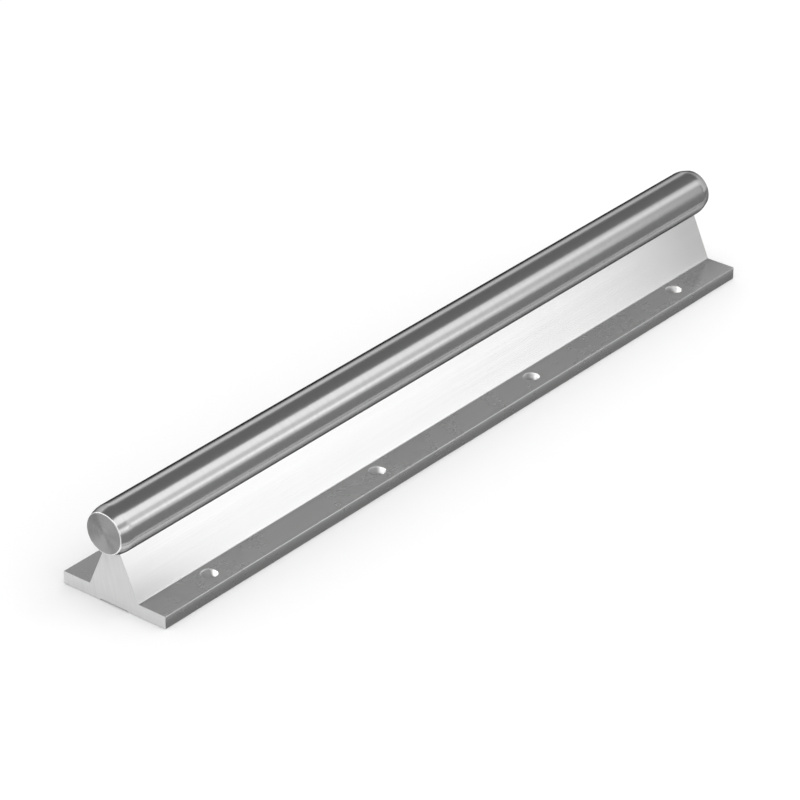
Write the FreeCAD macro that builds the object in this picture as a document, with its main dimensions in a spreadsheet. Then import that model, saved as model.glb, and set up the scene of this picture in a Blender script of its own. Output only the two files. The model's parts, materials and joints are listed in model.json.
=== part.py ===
import FreeCAD, Part
import math
import os
from enum import IntEnum

import Sketcher
from FreeCAD import Vector

# A round linear shaft, tapped from below and held by screws on a flanged support rail.
# Millimetres. The origin lies under the middle of the rail's foot, X runs along the shaft, Z is up.

# Driving dimensions, one sheet cell each
SIZES = {
    # Support rail: an extruded section, sawn to length
    "rail_length": 367,
    "base_width": 52,
    "flange_thickness": 5.5,
    "shaft_height": 33.5,
    "web_angle": 48,
    "web_wall": 0.7,
    "foot_radius": 1,
    "edge_radius": 0.5,
    "relief_width": 14,
    "relief_depth": 0.5,
    # Shaft: a ground round bar that stands a little out of the rail at both ends
    "shaft_diameter": 20,
    "shaft_overhang": 4,
    "lead_in_length": 4,
    "lead_in_depth": 1.3,
    "seat_clearance": 0.02,
    # Holes in the flanges, in one row on each side of the web
    "hole_count": 4,
    "end_distance": 33.5,
    "edge_distance": 8,
    "flange_hole": 6.6,
    # Socket-head screws from the rail's underside up into the shaft
    "screw_diameter": 6,
    "screw_clearance": 0.3,
    "thread_clearance": 0.05,
    "thread_engagement": 11,
    "tip_chamfer": 0.8,
    "head_diameter": 10,
    "head_height": 6,
    "head_chamfer": 0.5,
    "head_clearance": 0.5,
    "head_sink": 1.5,
    "socket_width": 5,
    "socket_depth": 3,
    # Blind tapped holes in the shaft, drawn at the thread's major diameter
    "tap_reserve": 2,
    "drill_point_angle": 118,
}

# Sizes that follow from the driving dimensions, as formulas of the sheet
FIRST_HOLE = "(sizes.rail_length / 2 - sizes.end_distance)"
HOLE_PITCH = f"2 * {FIRST_HOLE} / (sizes.hole_count - 1)"
ROW_DISTANCE = "sizes.base_width / 2 - sizes.edge_distance"
SHAFT_RADIUS = "sizes.shaft_diameter / 2"
CRADLE_RADIUS = f"({SHAFT_RADIUS} + sizes.seat_clearance)"
SCREW_HOLE = "(sizes.screw_diameter + 2 * sizes.screw_clearance)"
WEB_TOP = f"({SCREW_HOLE} + 2 * sizes.web_wall)"
SEAT_HEIGHT = "(sizes.relief_depth + sizes.head_sink + sizes.head_height)"
HEAD_BORE = "sizes.head_diameter + 2 * sizes.head_clearance"
SHANK_LENGTH = f"(sizes.shaft_height - {SHAFT_RADIUS} + sizes.thread_engagement - {SEAT_HEIGHT})"
SHANK_RADIUS = "(sizes.screw_diameter / 2 - sizes.thread_clearance)"
TIP_RADIUS = f"{SHANK_RADIUS} - sizes.tip_chamfer"
TAP_DEPTH = "sizes.thread_engagement + sizes.tap_reserve"
HEXAGON_SIDES = 6
HEXAGON_CIRCLE = f"sizes.socket_width / cos(180 / {HEXAGON_SIDES})"


class Axis(IntEnum):
    """Sketcher's numbers for a sketch's own axes."""

    X = -1
    Y = -2


class Spot(IntEnum):
    """Sketcher's numbers for the points of an edge."""

    START = 1
    END = 2
    CENTRE = 3


# A sketch's origin is the start of its X axis
ORIGIN = (Axis.X, Spot.START)


def make_sheet(doc):
    """Write the driving dimensions into the sheet, each under its own alias."""
    sheet = doc.addObject("Spreadsheet::Sheet", "sizes")
    for row, (name, value) in enumerate(SIZES.items(), start=1):
        sheet.set(f"A{row}", name)
        sheet.set(f"B{row}", str(value))
        sheet.setAlias(f"B{row}", name)
    doc.recompute()
    return sheet


def make_body(doc, name):
    """Add an empty body whose label names its file."""
    body = doc.addObject("PartDesign::Body", name)
    body.Label = name
    return body


def origin_item(body, role):
    """Find one of the body's own origin planes or axes by its role."""
    return next(item for item in body.Origin.OriginFeatures if item.Role == role)


def sketch_on(body, role, name, height=None):
    """Attach a new sketch to an origin plane, at a height above it where one is given."""
    sketch = body.newObject("Sketcher::SketchObject", name)
    sketch.AttachmentSupport = (origin_item(body, role), [""])
    sketch.MapMode = "FlatFace"
    if height is not None:
        sketch.setExpression("AttachmentOffset.Base.z", height)
    return sketch


def constrain(sketch, kind, *where):
    """Add a geometric constraint."""
    sketch.addConstraint(Sketcher.Constraint(kind, *where))


def dimension(sketch, name, formula, kind, *where):
    """Add a named dimension and bind it to the sheet."""
    value = sketch.evalExpression(formula)
    if kind == "Angle":
        value = math.radians(value)
    index = sketch.addConstraint(Sketcher.Constraint(kind, *where, value))
    sketch.renameConstraint(index, name)
    sketch.setExpression(f"Constraints.{name}", formula)


def dimension_edge(sketch, name, formula, kind, edge):
    """Add a named dimension from an edge's start to its end."""
    dimension(sketch, name, formula, kind, edge, Spot.START, edge, Spot.END)


def line(start, end):
    """Make a straight sketch edge between two (x, y) points."""
    return Part.LineSegment(Vector(*start, 0), Vector(*end, 0))


def circle(sketch, x, y, diameter):
    """Add a circle to the sketch and return its number."""
    return sketch.addGeometry(Part.Circle(Vector(x, y, 0), Vector(0, 0, 1), diameter / 2))


def outline(sketch, corners):
    """Close a chain of straight edges through the corners."""
    count = len(corners)
    for index in range(count):
        sketch.addGeometry(line(corners[index], corners[(index + 1) % count]))
    for index in range(count):
        constrain(sketch, "Coincident", index, Spot.END, (index + 1) % count, Spot.START)


def edges_through(shape, points):
    """Name the edges of a shape that pass through the given points."""
    tolerance = 0.001
    names = []
    for number, edge in enumerate(shape.Edges, start=1):
        if any(edge.distToShape(Part.Vertex(point))[0] < tolerance for point in points):
            names.append(f"Edge{number}")
    return names


def repeat_along_shaft(body, feature, name):
    """Repeat a hole at the pitch along the shaft."""
    pattern = body.newObject("PartDesign::LinearPattern", name)
    pattern.Originals = [feature]
    pattern.Direction = (origin_item(body, "X_Axis"), [""])
    pattern.Mode = "Spacing"
    pattern.setExpression("Offset", HOLE_PITCH)
    pattern.setExpression("Occurrences", "sizes.hole_count")
    body.Tip = pattern


def draw_rail_section(sketch):
    """Draw the rail's section: foot with its relief, flanges, sloping web and the shaft's cradle."""
    half_base = sketch.evalExpression("sizes.base_width / 2")
    half_relief = sketch.evalExpression("sizes.relief_width / 2")
    relief = sketch.evalExpression("sizes.relief_depth")
    flange = sketch.evalExpression("sizes.flange_thickness")
    half_top = sketch.evalExpression(f"{WEB_TOP} / 2")
    radius = sketch.evalExpression(CRADLE_RADIUS)
    height = sketch.evalExpression("sizes.shaft_height")
    slope = math.radians(sketch.evalExpression("sizes.web_angle / 2"))
    top = height - math.sqrt(radius ** 2 - half_top ** 2)
    half_foot = half_top + (top - flange) * math.tan(slope)
    turn = math.asin(half_top / radius)

    left_foot, left_relief, relief_roof, right_relief, right_foot = range(5)
    right_side, right_flange, right_web, cradle, left_web, left_flange, left_side = range(5, 12)
    cradle_circle = Part.Circle(Vector(0, height, 0), Vector(0, 0, 1), radius)
    down = -math.pi / 2
    for edge in (
        line((-half_base, 0), (-half_relief, 0)),
        line((-half_relief, 0), (-half_relief, relief)),
        line((-half_relief, relief), (half_relief, relief)),
        line((half_relief, relief), (half_relief, 0)),
        line((half_relief, 0), (half_base, 0)),
        line((half_base, 0), (half_base, flange)),
        line((half_base, flange), (half_foot, flange)),
        line((half_foot, flange), (half_top, top)),
        Part.ArcOfCircle(cradle_circle, down - turn, down + turn),
        line((-half_top, top), (-half_foot, flange)),
        line((-half_foot, flange), (-half_base, flange)),
        line((-half_base, flange), (-half_base, 0)),
    ):
        sketch.addGeometry(edge)

    for before, after in zip(range(left_foot, right_web), range(left_relief, cradle)):
        constrain(sketch, "Coincident", before, Spot.END, after, Spot.START)
    constrain(sketch, "Coincident", right_web, Spot.END, cradle, Spot.END)
    constrain(sketch, "Coincident", cradle, Spot.START, left_web, Spot.START)
    for before, after in ((left_web, left_flange), (left_flange, left_side), (left_side, left_foot)):
        constrain(sketch, "Coincident", before, Spot.END, after, Spot.START)
    for level in (left_foot, relief_roof, right_foot, right_flange, left_flange):
        constrain(sketch, "Horizontal", level)
    for upright in (left_relief, right_relief, right_side, left_side):
        constrain(sketch, "Vertical", upright)
    constrain(sketch, "PointOnObject", left_foot, Spot.START, Axis.X)
    constrain(sketch, "Symmetric", left_foot, Spot.START, right_foot, Spot.END, Axis.Y)
    constrain(sketch, "Symmetric", left_web, Spot.END, right_web, Spot.START, Axis.Y)
    constrain(sketch, "PointOnObject", cradle, Spot.CENTRE, Axis.Y)
    constrain(sketch, "Horizontal", cradle, Spot.START, cradle, Spot.END)
    constrain(sketch, "Equal", left_foot, right_foot)

    base_ends = (left_foot, Spot.START, right_foot, Spot.END)
    dimension(sketch, "base_width", "sizes.base_width", "DistanceX", *base_ends)
    dimension_edge(sketch, "relief_width", "sizes.relief_width", "DistanceX", relief_roof)
    dimension_edge(sketch, "relief_depth", "sizes.relief_depth", "DistanceY", left_relief)
    dimension_edge(sketch, "flange", "sizes.flange_thickness", "DistanceY", right_side)
    dimension_edge(sketch, "web_top", WEB_TOP, "DistanceX", cradle)
    dimension(sketch, "web_slope", "90 + sizes.web_angle / 2", "Angle", right_web)
    dimension(sketch, "axis_height", "sizes.shaft_height", "DistanceY", *ORIGIN, cradle, Spot.CENTRE)
    dimension(sketch, "cradle_radius", CRADLE_RADIUS, "Radius", cradle)
    foot_corners = [Vector(0, side * half_foot, flange) for side in (-1, 1)]
    lip_corners = [Vector(0, side * half_base, level) for side in (-1, 1) for level in (0, flange)]
    return foot_corners, lip_corners


def round_edges(body, base, name, points, radius):
    """Round the lengthwise edges of a body that pass through the points."""
    fillet = body.newObject("PartDesign::Fillet", name)
    fillet.Base = (base, edges_through(base.Shape, points))
    fillet.setExpression("Radius", radius)
    body.Tip = fillet
    return fillet


def build_support_rail(doc):
    """Extrude the rail's section, round its edges and drill it for both sets of screws."""
    body = make_body(doc, "support_rail")
    section = sketch_on(body, "YZ_Plane", "rail_section")
    foot_corners, lip_corners = draw_rail_section(section)
    bar = body.newObject("PartDesign::Pad", "rail_bar")
    bar.Profile = section
    bar.SideType = "Symmetric"
    bar.setExpression("Length", "sizes.rail_length")
    doc.recompute()
    foot_rounds = round_edges(body, bar, "web_foot_rounds", foot_corners, "sizes.foot_radius")
    doc.recompute()
    round_edges(body, foot_rounds, "flange_edge_rounds", lip_corners, "sizes.edge_radius")
    doc.recompute()
    drill_flanges(doc, body)
    drill_screw_holes(doc, body)
    return body


def drill_flanges(doc, body):
    """Drill the first hole of both flanges up from the foot and repeat the pair along the rail."""
    first = body.evalExpression(FIRST_HOLE)
    row = body.evalExpression(ROW_DISTANCE)
    diameter = body.evalExpression("sizes.flange_hole")
    pair = sketch_on(body, "XY_Plane", "flange_hole_pair")
    right = circle(pair, -first, -row, diameter)
    left = circle(pair, -first, row, diameter)
    constrain(pair, "Symmetric", right, Spot.CENTRE, left, Spot.CENTRE, Axis.X)
    constrain(pair, "Equal", right, left)
    dimension(pair, "first_hole", FIRST_HOLE, "DistanceX", left, Spot.CENTRE, *ORIGIN)
    dimension(pair, "row_distance", ROW_DISTANCE, "DistanceY", *ORIGIN, left, Spot.CENTRE)
    dimension(pair, "hole_diameter", "sizes.flange_hole", "Diameter", left)
    cut = body.newObject("PartDesign::Pocket", "flange_holes")
    cut.Profile = pair
    cut.Type = "ThroughAll"
    cut.Reversed = True
    doc.recompute()
    repeat_along_shaft(body, cut, "flange_hole_rows")
    doc.recompute()


def drill_screw_holes(doc, body):
    """Counterbore the foot for a screw's head, drill on through the cradle and repeat along the rail."""
    spot = sketch_on(body, "XY_Plane", "screw_hole_spot")
    mark_screw_hole(spot, SCREW_HOLE)
    doc.recompute()
    bore = body.newObject("PartDesign::Hole", "screw_hole")
    bore.Profile = spot
    bore.Reversed = True
    bore.DepthType = "ThroughAll"
    bore.HoleCutType = "Counterbore"
    bore.HoleCutCustomValues = True
    bore.setExpression("Diameter", SCREW_HOLE)
    bore.setExpression("HoleCutDiameter", HEAD_BORE)
    bore.setExpression("HoleCutDepth", SEAT_HEIGHT)
    doc.recompute()
    repeat_along_shaft(body, bore, "screw_hole_row")


def mark_screw_hole(sketch, diameter):
    """Mark the first screw's place on the rail's centre line."""
    first = sketch.evalExpression(FIRST_HOLE)
    ring = circle(sketch, -first, 0, sketch.evalExpression(diameter))
    constrain(sketch, "PointOnObject", ring, Spot.CENTRE, Axis.X)
    dimension(sketch, "first_hole", FIRST_HOLE, "DistanceX", ring, Spot.CENTRE, *ORIGIN)
    dimension(sketch, "hole_diameter", diameter, "Diameter", ring)


def build_shaft(doc):
    """Make the round bar about its own axis, bevel its ends and drill its tapped holes from below."""
    body = make_body(doc, "shaft")
    body.setExpression("Placement.Base.z", "sizes.shaft_height")
    length = "sizes.rail_length + 2 * sizes.shaft_overhang"
    section = sketch_on(body, "YZ_Plane", "shaft_section")
    ring = circle(section, 0, 0, body.evalExpression("sizes.shaft_diameter"))
    constrain(section, "Coincident", ring, Spot.CENTRE, *ORIGIN)
    dimension(section, "diameter", "sizes.shaft_diameter", "Diameter", ring)
    bar = body.newObject("PartDesign::Pad", "shaft_bar")
    bar.Profile = section
    bar.SideType = "Symmetric"
    bar.setExpression("Length", length)
    doc.recompute()

    half_length = body.evalExpression(f"({length}) / 2")
    radius = body.evalExpression(SHAFT_RADIUS)
    rims = [Vector(end * half_length, 0, radius) for end in (-1, 1)]
    ends = body.newObject("PartDesign::Chamfer", "shaft_lead_ins")
    ends.Base = (bar, edges_through(bar.Shape, rims))
    ends.ChamferType = "Two distances"
    ends.setExpression("Size", "sizes.lead_in_length")
    ends.setExpression("Size2", "sizes.lead_in_depth")
    doc.recompute()

    spot = sketch_on(body, "XY_Plane", "tapped_hole_spot", f"-{SHAFT_RADIUS}")
    mark_screw_hole(spot, "sizes.screw_diameter")
    doc.recompute()
    tap = body.newObject("PartDesign::Hole", "tapped_hole")
    tap.Profile = spot
    tap.Reversed = True
    tap.DepthType = "Dimension"
    tap.DrillPoint = "Angled"
    tap.setExpression("Diameter", "sizes.screw_diameter")
    tap.setExpression("Depth", TAP_DEPTH)
    tap.setExpression("DrillPointAngle", "sizes.drill_point_angle")
    doc.recompute()
    repeat_along_shaft(body, tap, "tapped_hole_row")
    return body


def draw_screw_profile(sketch):
    """Draw half of the screw's section: head below its seat, shank above it."""
    head = sketch.evalExpression("sizes.head_diameter / 2")
    height = sketch.evalExpression("sizes.head_height")
    bevel = sketch.evalExpression("sizes.head_chamfer")
    shank = sketch.evalExpression(SHANK_RADIUS)
    length = sketch.evalExpression(SHANK_LENGTH)
    tip = sketch.evalExpression("sizes.tip_chamfer")
    outline(sketch, [
        (0, -height),
        (head - bevel, -height),
        (head, bevel - height),
        (head, 0),
        (shank, 0),
        (shank, length - tip),
        (shank - tip, length),
        (0, length),
    ])
    head_end, head_bevel, head_side, seat, shank_side, tip_bevel, tip_end, axis = range(8)
    for level in (head_end, seat, tip_end):
        constrain(sketch, "Horizontal", level)
    for upright in (head_side, shank_side, axis):
        constrain(sketch, "Vertical", upright)
    constrain(sketch, "PointOnObject", axis, Spot.START, Axis.Y)
    constrain(sketch, "PointOnObject", seat, Spot.START, Axis.X)
    dimension(sketch, "head_radius", "sizes.head_diameter / 2", "DistanceX", *ORIGIN, seat, Spot.START)
    dimension(sketch, "head_height", "sizes.head_height", "DistanceY", head_end, Spot.START, *ORIGIN)
    dimension_edge(sketch, "bevel_width", "sizes.head_chamfer", "DistanceX", head_bevel)
    dimension_edge(sketch, "bevel_height", "sizes.head_chamfer", "DistanceY", head_bevel)
    dimension(sketch, "shank_radius", SHANK_RADIUS, "DistanceX", *ORIGIN, seat, Spot.END)
    dimension(sketch, "shank_length", SHANK_LENGTH, "DistanceY", *ORIGIN, axis, Spot.START)
    dimension(sketch, "tip_radius", TIP_RADIUS, "DistanceX", *ORIGIN, tip_bevel, Spot.END)
    dimension_edge(sketch, "tip_height", "sizes.tip_chamfer", "DistanceY", tip_bevel)


def draw_hexagon(sketch):
    """Draw the socket's hexagon inside a construction circle."""
    diameter = sketch.evalExpression(HEXAGON_CIRCLE)
    angles = [math.tau * corner / HEXAGON_SIDES for corner in range(HEXAGON_SIDES)]
    outline(sketch, [(diameter / 2 * math.cos(angle), diameter / 2 * math.sin(angle)) for angle in angles])
    ring = circle(sketch, 0, 0, diameter)
    sketch.setConstruction(ring, True)
    constrain(sketch, "Coincident", ring, Spot.CENTRE, *ORIGIN)
    for side in range(HEXAGON_SIDES):
        constrain(sketch, "PointOnObject", side, Spot.START, ring)
    for side in range(1, HEXAGON_SIDES):
        constrain(sketch, "Equal", 0, side)
    constrain(sketch, "Horizontal", 1)
    dimension(sketch, "circle", HEXAGON_CIRCLE, "Diameter", ring)


def build_screw(doc, number):
    """Make one socket-head screw with its head on the seat inside the rail."""
    body = make_body(doc, f"shaft_screw_{number}")
    body.setExpression("Placement.Base.x", f"{number - 1} * {HOLE_PITCH} - {FIRST_HOLE}")
    body.setExpression("Placement.Base.z", SEAT_HEIGHT)
    profile = sketch_on(body, "XZ_Plane", f"screw_profile_{number}")
    draw_screw_profile(profile)
    turned = body.newObject("PartDesign::Revolution", f"screw_blank_{number}")
    turned.Profile = profile
    turned.ReferenceAxis = (profile, ["V_Axis"])
    doc.recompute()
    hexagon = sketch_on(body, "XY_Plane", f"socket_hexagon_{number}", "-sizes.head_height")
    draw_hexagon(hexagon)
    socket = body.newObject("PartDesign::Pocket", f"screw_socket_{number}")
    socket.Profile = hexagon
    socket.Reversed = True
    socket.setExpression("Length", "sizes.socket_depth")
    body.Tip = socket
    doc.recompute()
    return body


def check_document(doc, bodies):
    """Stop if anything failed to compute, a sketch is loose, or a cut took nothing away."""
    for item in doc.Objects:
        if "Invalid" in item.State or "Error" in item.State:
            raise RuntimeError(f"{item.Label} did not compute: {item.State}")
        if item.isDerivedFrom("Sketcher::SketchObject") and not item.FullyConstrained:
            raise RuntimeError(f"{item.Label} is not fully constrained")
        if item.TypeId in ("PartDesign::Pocket", "PartDesign::Hole"):
            if item.Shape.Volume >= item.BaseFeature.Shape.Volume:
                raise RuntimeError(f"{item.Label} removed nothing")
    for body in bodies:
        if body.Shape.isNull() or not body.Shape.isValid() or len(body.Shape.Solids) != 1:
            raise RuntimeError(f"{body.Label} is not one valid solid")


def main():
    """Build the shaft, its rail and their screws, check them and write one file for each."""
    doc = FreeCAD.newDocument("tapped_linear_shaft")
    sheet = make_sheet(doc)
    screw_count = int(sheet.get("hole_count"))
    bodies = [build_support_rail(doc), build_shaft(doc)]
    bodies += [build_screw(doc, number) for number in range(1, screw_count + 1)]
    doc.recompute()
    check_document(doc, bodies)
    os.makedirs("parts", exist_ok=True)
    for body in bodies:
        body.Shape.exportStep(f"parts/{body.Label}.step")
        print(f"{body.Label}: {body.Shape.Volume / 1000:.3f} cm3, box {body.Shape.BoundBox}")


main()
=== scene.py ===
"""Looks of a tapped linear shaft on its support rail: fine surfaces, metal finishes and a plain studio."""

import json
import logging
import math
from dataclasses import dataclass, field, replace
from enum import Enum
from typing import Any

import bpy
import numpy as np
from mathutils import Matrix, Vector

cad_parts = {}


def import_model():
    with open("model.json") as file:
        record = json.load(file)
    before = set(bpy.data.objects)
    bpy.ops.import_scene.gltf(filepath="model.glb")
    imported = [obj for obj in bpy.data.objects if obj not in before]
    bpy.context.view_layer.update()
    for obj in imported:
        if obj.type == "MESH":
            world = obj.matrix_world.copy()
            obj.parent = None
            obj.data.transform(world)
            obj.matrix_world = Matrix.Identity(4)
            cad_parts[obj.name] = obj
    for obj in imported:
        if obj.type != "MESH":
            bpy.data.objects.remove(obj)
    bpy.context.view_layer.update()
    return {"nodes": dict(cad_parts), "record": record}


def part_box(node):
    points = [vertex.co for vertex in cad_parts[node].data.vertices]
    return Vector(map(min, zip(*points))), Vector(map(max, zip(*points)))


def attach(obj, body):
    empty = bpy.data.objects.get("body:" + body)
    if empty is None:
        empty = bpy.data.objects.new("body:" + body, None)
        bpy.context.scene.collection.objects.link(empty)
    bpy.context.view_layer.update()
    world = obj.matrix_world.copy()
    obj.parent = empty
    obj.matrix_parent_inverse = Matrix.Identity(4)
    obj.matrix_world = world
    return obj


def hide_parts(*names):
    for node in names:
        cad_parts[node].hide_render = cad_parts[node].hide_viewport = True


LOG = logging.getLogger("tapped_shaft")

BODY = "root"
Point = tuple[float, float, float]

# Metres in a millimetre, the grid in millimetres on which points are welded, and the angle of a sharp edge
MM = 0.001
WELD = 1e-5
SHARP_ANGLE = math.radians(32)

# Steps along each side of a hole's patch, the patch's lines from side to side, the angles of the points on
# its rings, from the lowest corner, and the rings' shares of the way from the patch's edge to the hole's rim
SIDE_STEPS = 16
PATCH_LINES = np.linspace(-1, 1, SIDE_STEPS + 1)
RING_ANGLES = 2 * math.pi * np.arange(4 * SIDE_STEPS) / (4 * SIDE_STEPS) - 3 * math.pi / 4
PATCH_SHARES = np.array([0.0, 0.4, 0.75, 0.95, 1.0])

# Even steps between sections along a bar, and how far they stay clear of a patch, in millimetres
STATION_STEP = 12.0
PATCH_GAP = 1.0

# Straight steps in an arc, how far past its ends a point holds the flat beside it, and how near to a level
# the middle of a quad counts as on it, in millimetres
ARC_STEPS = 6
HOLD = 0.05
ON_LEVEL = 0.05

# Slope of a thread's flanks, tilt of a saw's lines, and turn of highlights on lines that run across
FLANK_SLOPE = 1.5
SAW_TILT = math.radians(12)
QUARTER_TURN = 0.25


def rounded_corners(corners: np.ndarray, radii: np.ndarray) -> np.ndarray:
    """Turns the inner corners of an open outline into arcs that touch both sides.

    An arc begins and ends at the radius divided by the tangent of half the corner's angle from the corner,
    and its centre lies on the corner's bisector. One more point stands just beyond each end of the arc, so
    that the flat stretches stay flat under smooth shading.

    Args:
        corners: Points of the outline, shape (n, 2).
        radii: Radius at each inner corner, shape (n - 2,).

    Returns:
        Points of each corner in the outline's order, shape (n - 2, ARC_STEPS + 3, 2).
    """
    corner = corners[1:-1]
    back = corners[:-2] - corner
    ahead = corners[2:] - corner
    back /= np.linalg.norm(back, axis=1, keepdims=True)
    ahead /= np.linalg.norm(ahead, axis=1, keepdims=True)
    half = np.arccos((back * ahead).sum(axis=1)) / 2
    reach = (radii / np.tan(half))[:, None]
    bisector = back + ahead
    bisector /= np.linalg.norm(bisector, axis=1, keepdims=True)
    centre = corner + bisector * (radii / np.sin(half))[:, None]
    start = corner + back * reach - centre
    stop = corner + ahead * reach - centre
    first = np.arctan2(start[:, 1], start[:, 0])
    sweep = np.arctan2(stop[:, 1], stop[:, 0]) - first
    sweep = (sweep + math.pi) % (2 * math.pi) - math.pi
    angle = first[:, None] + sweep[:, None] * np.linspace(0, 1, ARC_STEPS + 1)
    arc = centre[:, None] + radii[:, None, None] * np.stack([np.cos(angle), np.sin(angle)], axis=-1)
    before = corner + back * (reach + HOLD)
    after = corner + ahead * (reach + HOLD)
    return np.concatenate([before[:, None], arc, after[:, None]], axis=1)


def inset(outline: np.ndarray, distance: float) -> np.ndarray:
    """Moves a closed anticlockwise outline inwards by a distance.

    Each point moves along the sum of its two sides' inward normals, divided by one plus their dot product,
    which carries both sides in by the same distance.

    Args:
        outline: Points of the outline, shape (n, 2).
        distance: How far the sides move.

    Returns:
        The moved points, shape (n, 2).
    """
    ahead = np.roll(outline, -1, axis=0) - outline
    normal = np.stack([-ahead[:, 1], ahead[:, 0]], axis=1)
    normal /= np.linalg.norm(normal, axis=1, keepdims=True)
    before = np.roll(normal, 1, axis=0)
    share = 1 + (normal * before).sum(axis=1, keepdims=True)
    return outline + distance * (normal + before) / share


def rectangle_ring(x_lines: np.ndarray, y_lines: np.ndarray) -> np.ndarray:
    """Walks anticlockwise round a rectangle on the lines of a grid, from its lowest corner.

    Args:
        x_lines: Rising x of the lines across, shape (n,).
        y_lines: Rising y of the lines along, shape (m,).

    Returns:
        Points (x, y) of the ring, open at its end, shape (2 (n + m - 2), 2).
    """
    x = np.concatenate([x_lines[:-1], np.full(len(y_lines) - 1, x_lines[-1]),
                        x_lines[:0:-1], np.full(len(y_lines) - 1, x_lines[0])])
    y = np.concatenate([np.full(len(x_lines) - 1, y_lines[0]), y_lines[:-1],
                        np.full(len(x_lines) - 1, y_lines[-1]), y_lines[:0:-1]])
    return np.stack([x, y], axis=1)


def circle_ring(x: float, y: float, radius: float) -> np.ndarray:
    """Points (x, y) of a circle, one for each point of a patch's rectangle, a quarter turn to each side."""
    return np.stack([x + radius * np.cos(RING_ANGLES), y + radius * np.sin(RING_ANGLES)], axis=1)


def lift(ring: np.ndarray, height: np.ndarray | float) -> np.ndarray:
    """Gives the points (x, y) of a ring their height z."""
    return np.column_stack([ring, np.broadcast_to(height, len(ring))])


def closed(rows: list[np.ndarray] | np.ndarray) -> np.ndarray:
    """Stacks rings as the rows of a grid and closes each ring on its first point."""
    grid = np.asarray(rows)
    return np.concatenate([grid, grid[:, :1]], axis=1)


def patch_rings(edge: np.ndarray, rim: np.ndarray) -> np.ndarray:
    """Rings from a patch's rectangle to the hole's rim, each a share of the way from one to the other."""
    return edge + PATCH_SHARES[:, None, None] * (rim - edge)


def upright_rings(x: float, angle: np.ndarray, radius: np.ndarray, height: np.ndarray) -> np.ndarray:
    """Rings of points about an upright axis at x, of radii and heights that broadcast to (rows, columns)."""
    return np.stack(np.broadcast_arrays(x + radius * np.cos(angle), radius * np.sin(angle), height), axis=-1)


def quad_middles(grid: np.ndarray) -> np.ndarray:
    """The middle of each quad of a grid of points."""
    return (grid[:-1, :-1] + grid[1:, 1:]) / 2


def hole_distance(x: np.ndarray, holes: np.ndarray) -> np.ndarray:
    """Distance along the rail from each place to the nearest hole."""
    return np.abs(x[..., None] - holes).min(axis=-1)


def bar_stations(end: float, holes: np.ndarray, patch_half: float) -> np.ndarray:
    """Places of the sections along a bar: the lines of the holes' patches and even steps between them.

    Args:
        end: Distance of both ends from the bar's middle.
        holes: Places of the holes, shape (holes,).
        patch_half: Half the length of a hole's patch.

    Returns:
        Rising x, without the ends, shape (n,).
    """
    patches = (holes[:, None] + patch_half * PATCH_LINES).ravel()
    steps = np.linspace(-end, end, round(2 * end / STATION_STEP) + 1)[1:-1]
    clear = hole_distance(steps, holes) > patch_half + PATCH_GAP
    return np.sort(np.concatenate([patches, steps[clear]]))


def thread_height(angle: np.ndarray, height: np.ndarray, pitch: float) -> np.ndarray:
    """Height of a right-hand thread between its root, 0, and its crest, 1.

    The share of a turn is the height over the pitch less the angle over a full turn; a triangle wave of that
    share, steepened about its middle and cut off at 0 and 1, gives the flat root, the flanks and the crest.

    Args:
        angle: Angles round the thread's axis.
        height: Heights along the axis, of a shape that broadcasts with the angles.
        pitch: Height of one turn.

    Returns:
        Thread heights, shape of the broadcast arguments.
    """
    turn = (height / pitch - angle / (2 * math.pi)) % 1
    wave = 1 - 2 * np.abs(turn - 0.5)
    return np.clip(0.5 + FLANK_SLOPE * (wave - 0.5), 0, 1)


def add_node(tree: bpy.types.NodeTree, kind: str, inputs: dict[Any, Any] | None = None,
             **settings: Any) -> bpy.types.Node:
    """Adds a node, sets its properties and fills its inputs.

    Args:
        tree: The node tree.
        kind: The node's type.
        inputs: Value or source socket of each input, by the input's name or number.
        **settings: Properties of the node.

    Returns:
        The new node.
    """
    node = tree.nodes.new(kind)
    for name, value in settings.items():
        setattr(node, name, value)
    for name, value in (inputs or {}).items():
        if isinstance(value, bpy.types.NodeSocket):
            tree.links.new(value, node.inputs[name])
        else:
            node.inputs[name].default_value = value
    return node


def grey(level: float) -> tuple[float, float, float, float]:
    """A neutral colour of a level."""
    return (level, level, level, 1.0)


def empty_material(name: str) -> bpy.types.Material:
    """Makes a material whose node tree is empty.

    Args:
        name: The material's name.

    Returns:
        The new material.
    """
    material = bpy.data.materials.new(name)
    material.use_nodes = True
    material.node_tree.nodes.clear()
    return material


def add_object(name: str, data: bpy.types.ID) -> bpy.types.Object:
    """Makes an object of a mesh, a lamp or a camera and links it to the scene.

    Args:
        name: The object's name.
        data: The mesh, lamp or camera.

    Returns:
        The new object, at the origin.
    """
    made = bpy.data.objects.new(name, data)
    bpy.context.scene.collection.objects.link(made)
    return made


class Effect(Enum):
    """Shared effects, each a node group that is built once and placed in every finish that shows it."""

    LINE_GRAIN = "line_grain"
    HANDLING = "handling_marks"

    def group(self) -> bpy.types.NodeTree:
        """The effect's node group, made on its first use."""
        return bpy.data.node_groups.get(self.value) or EFFECT_MAKERS[self](self.value)


def start_group(name: str, sockets: dict[str, tuple[str, str]]) -> bpy.types.NodeTree:
    """Makes an empty shader node group.

    Args:
        name: The group's name.
        sockets: Direction and type of each socket, by its name.

    Returns:
        The group, with its sockets made.
    """
    tree = bpy.data.node_groups.new(name, "ShaderNodeTree")
    for socket, (direction, kind) in sockets.items():
        tree.interface.new_socket(socket, in_out=direction, socket_type=kind)
    return tree


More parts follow.
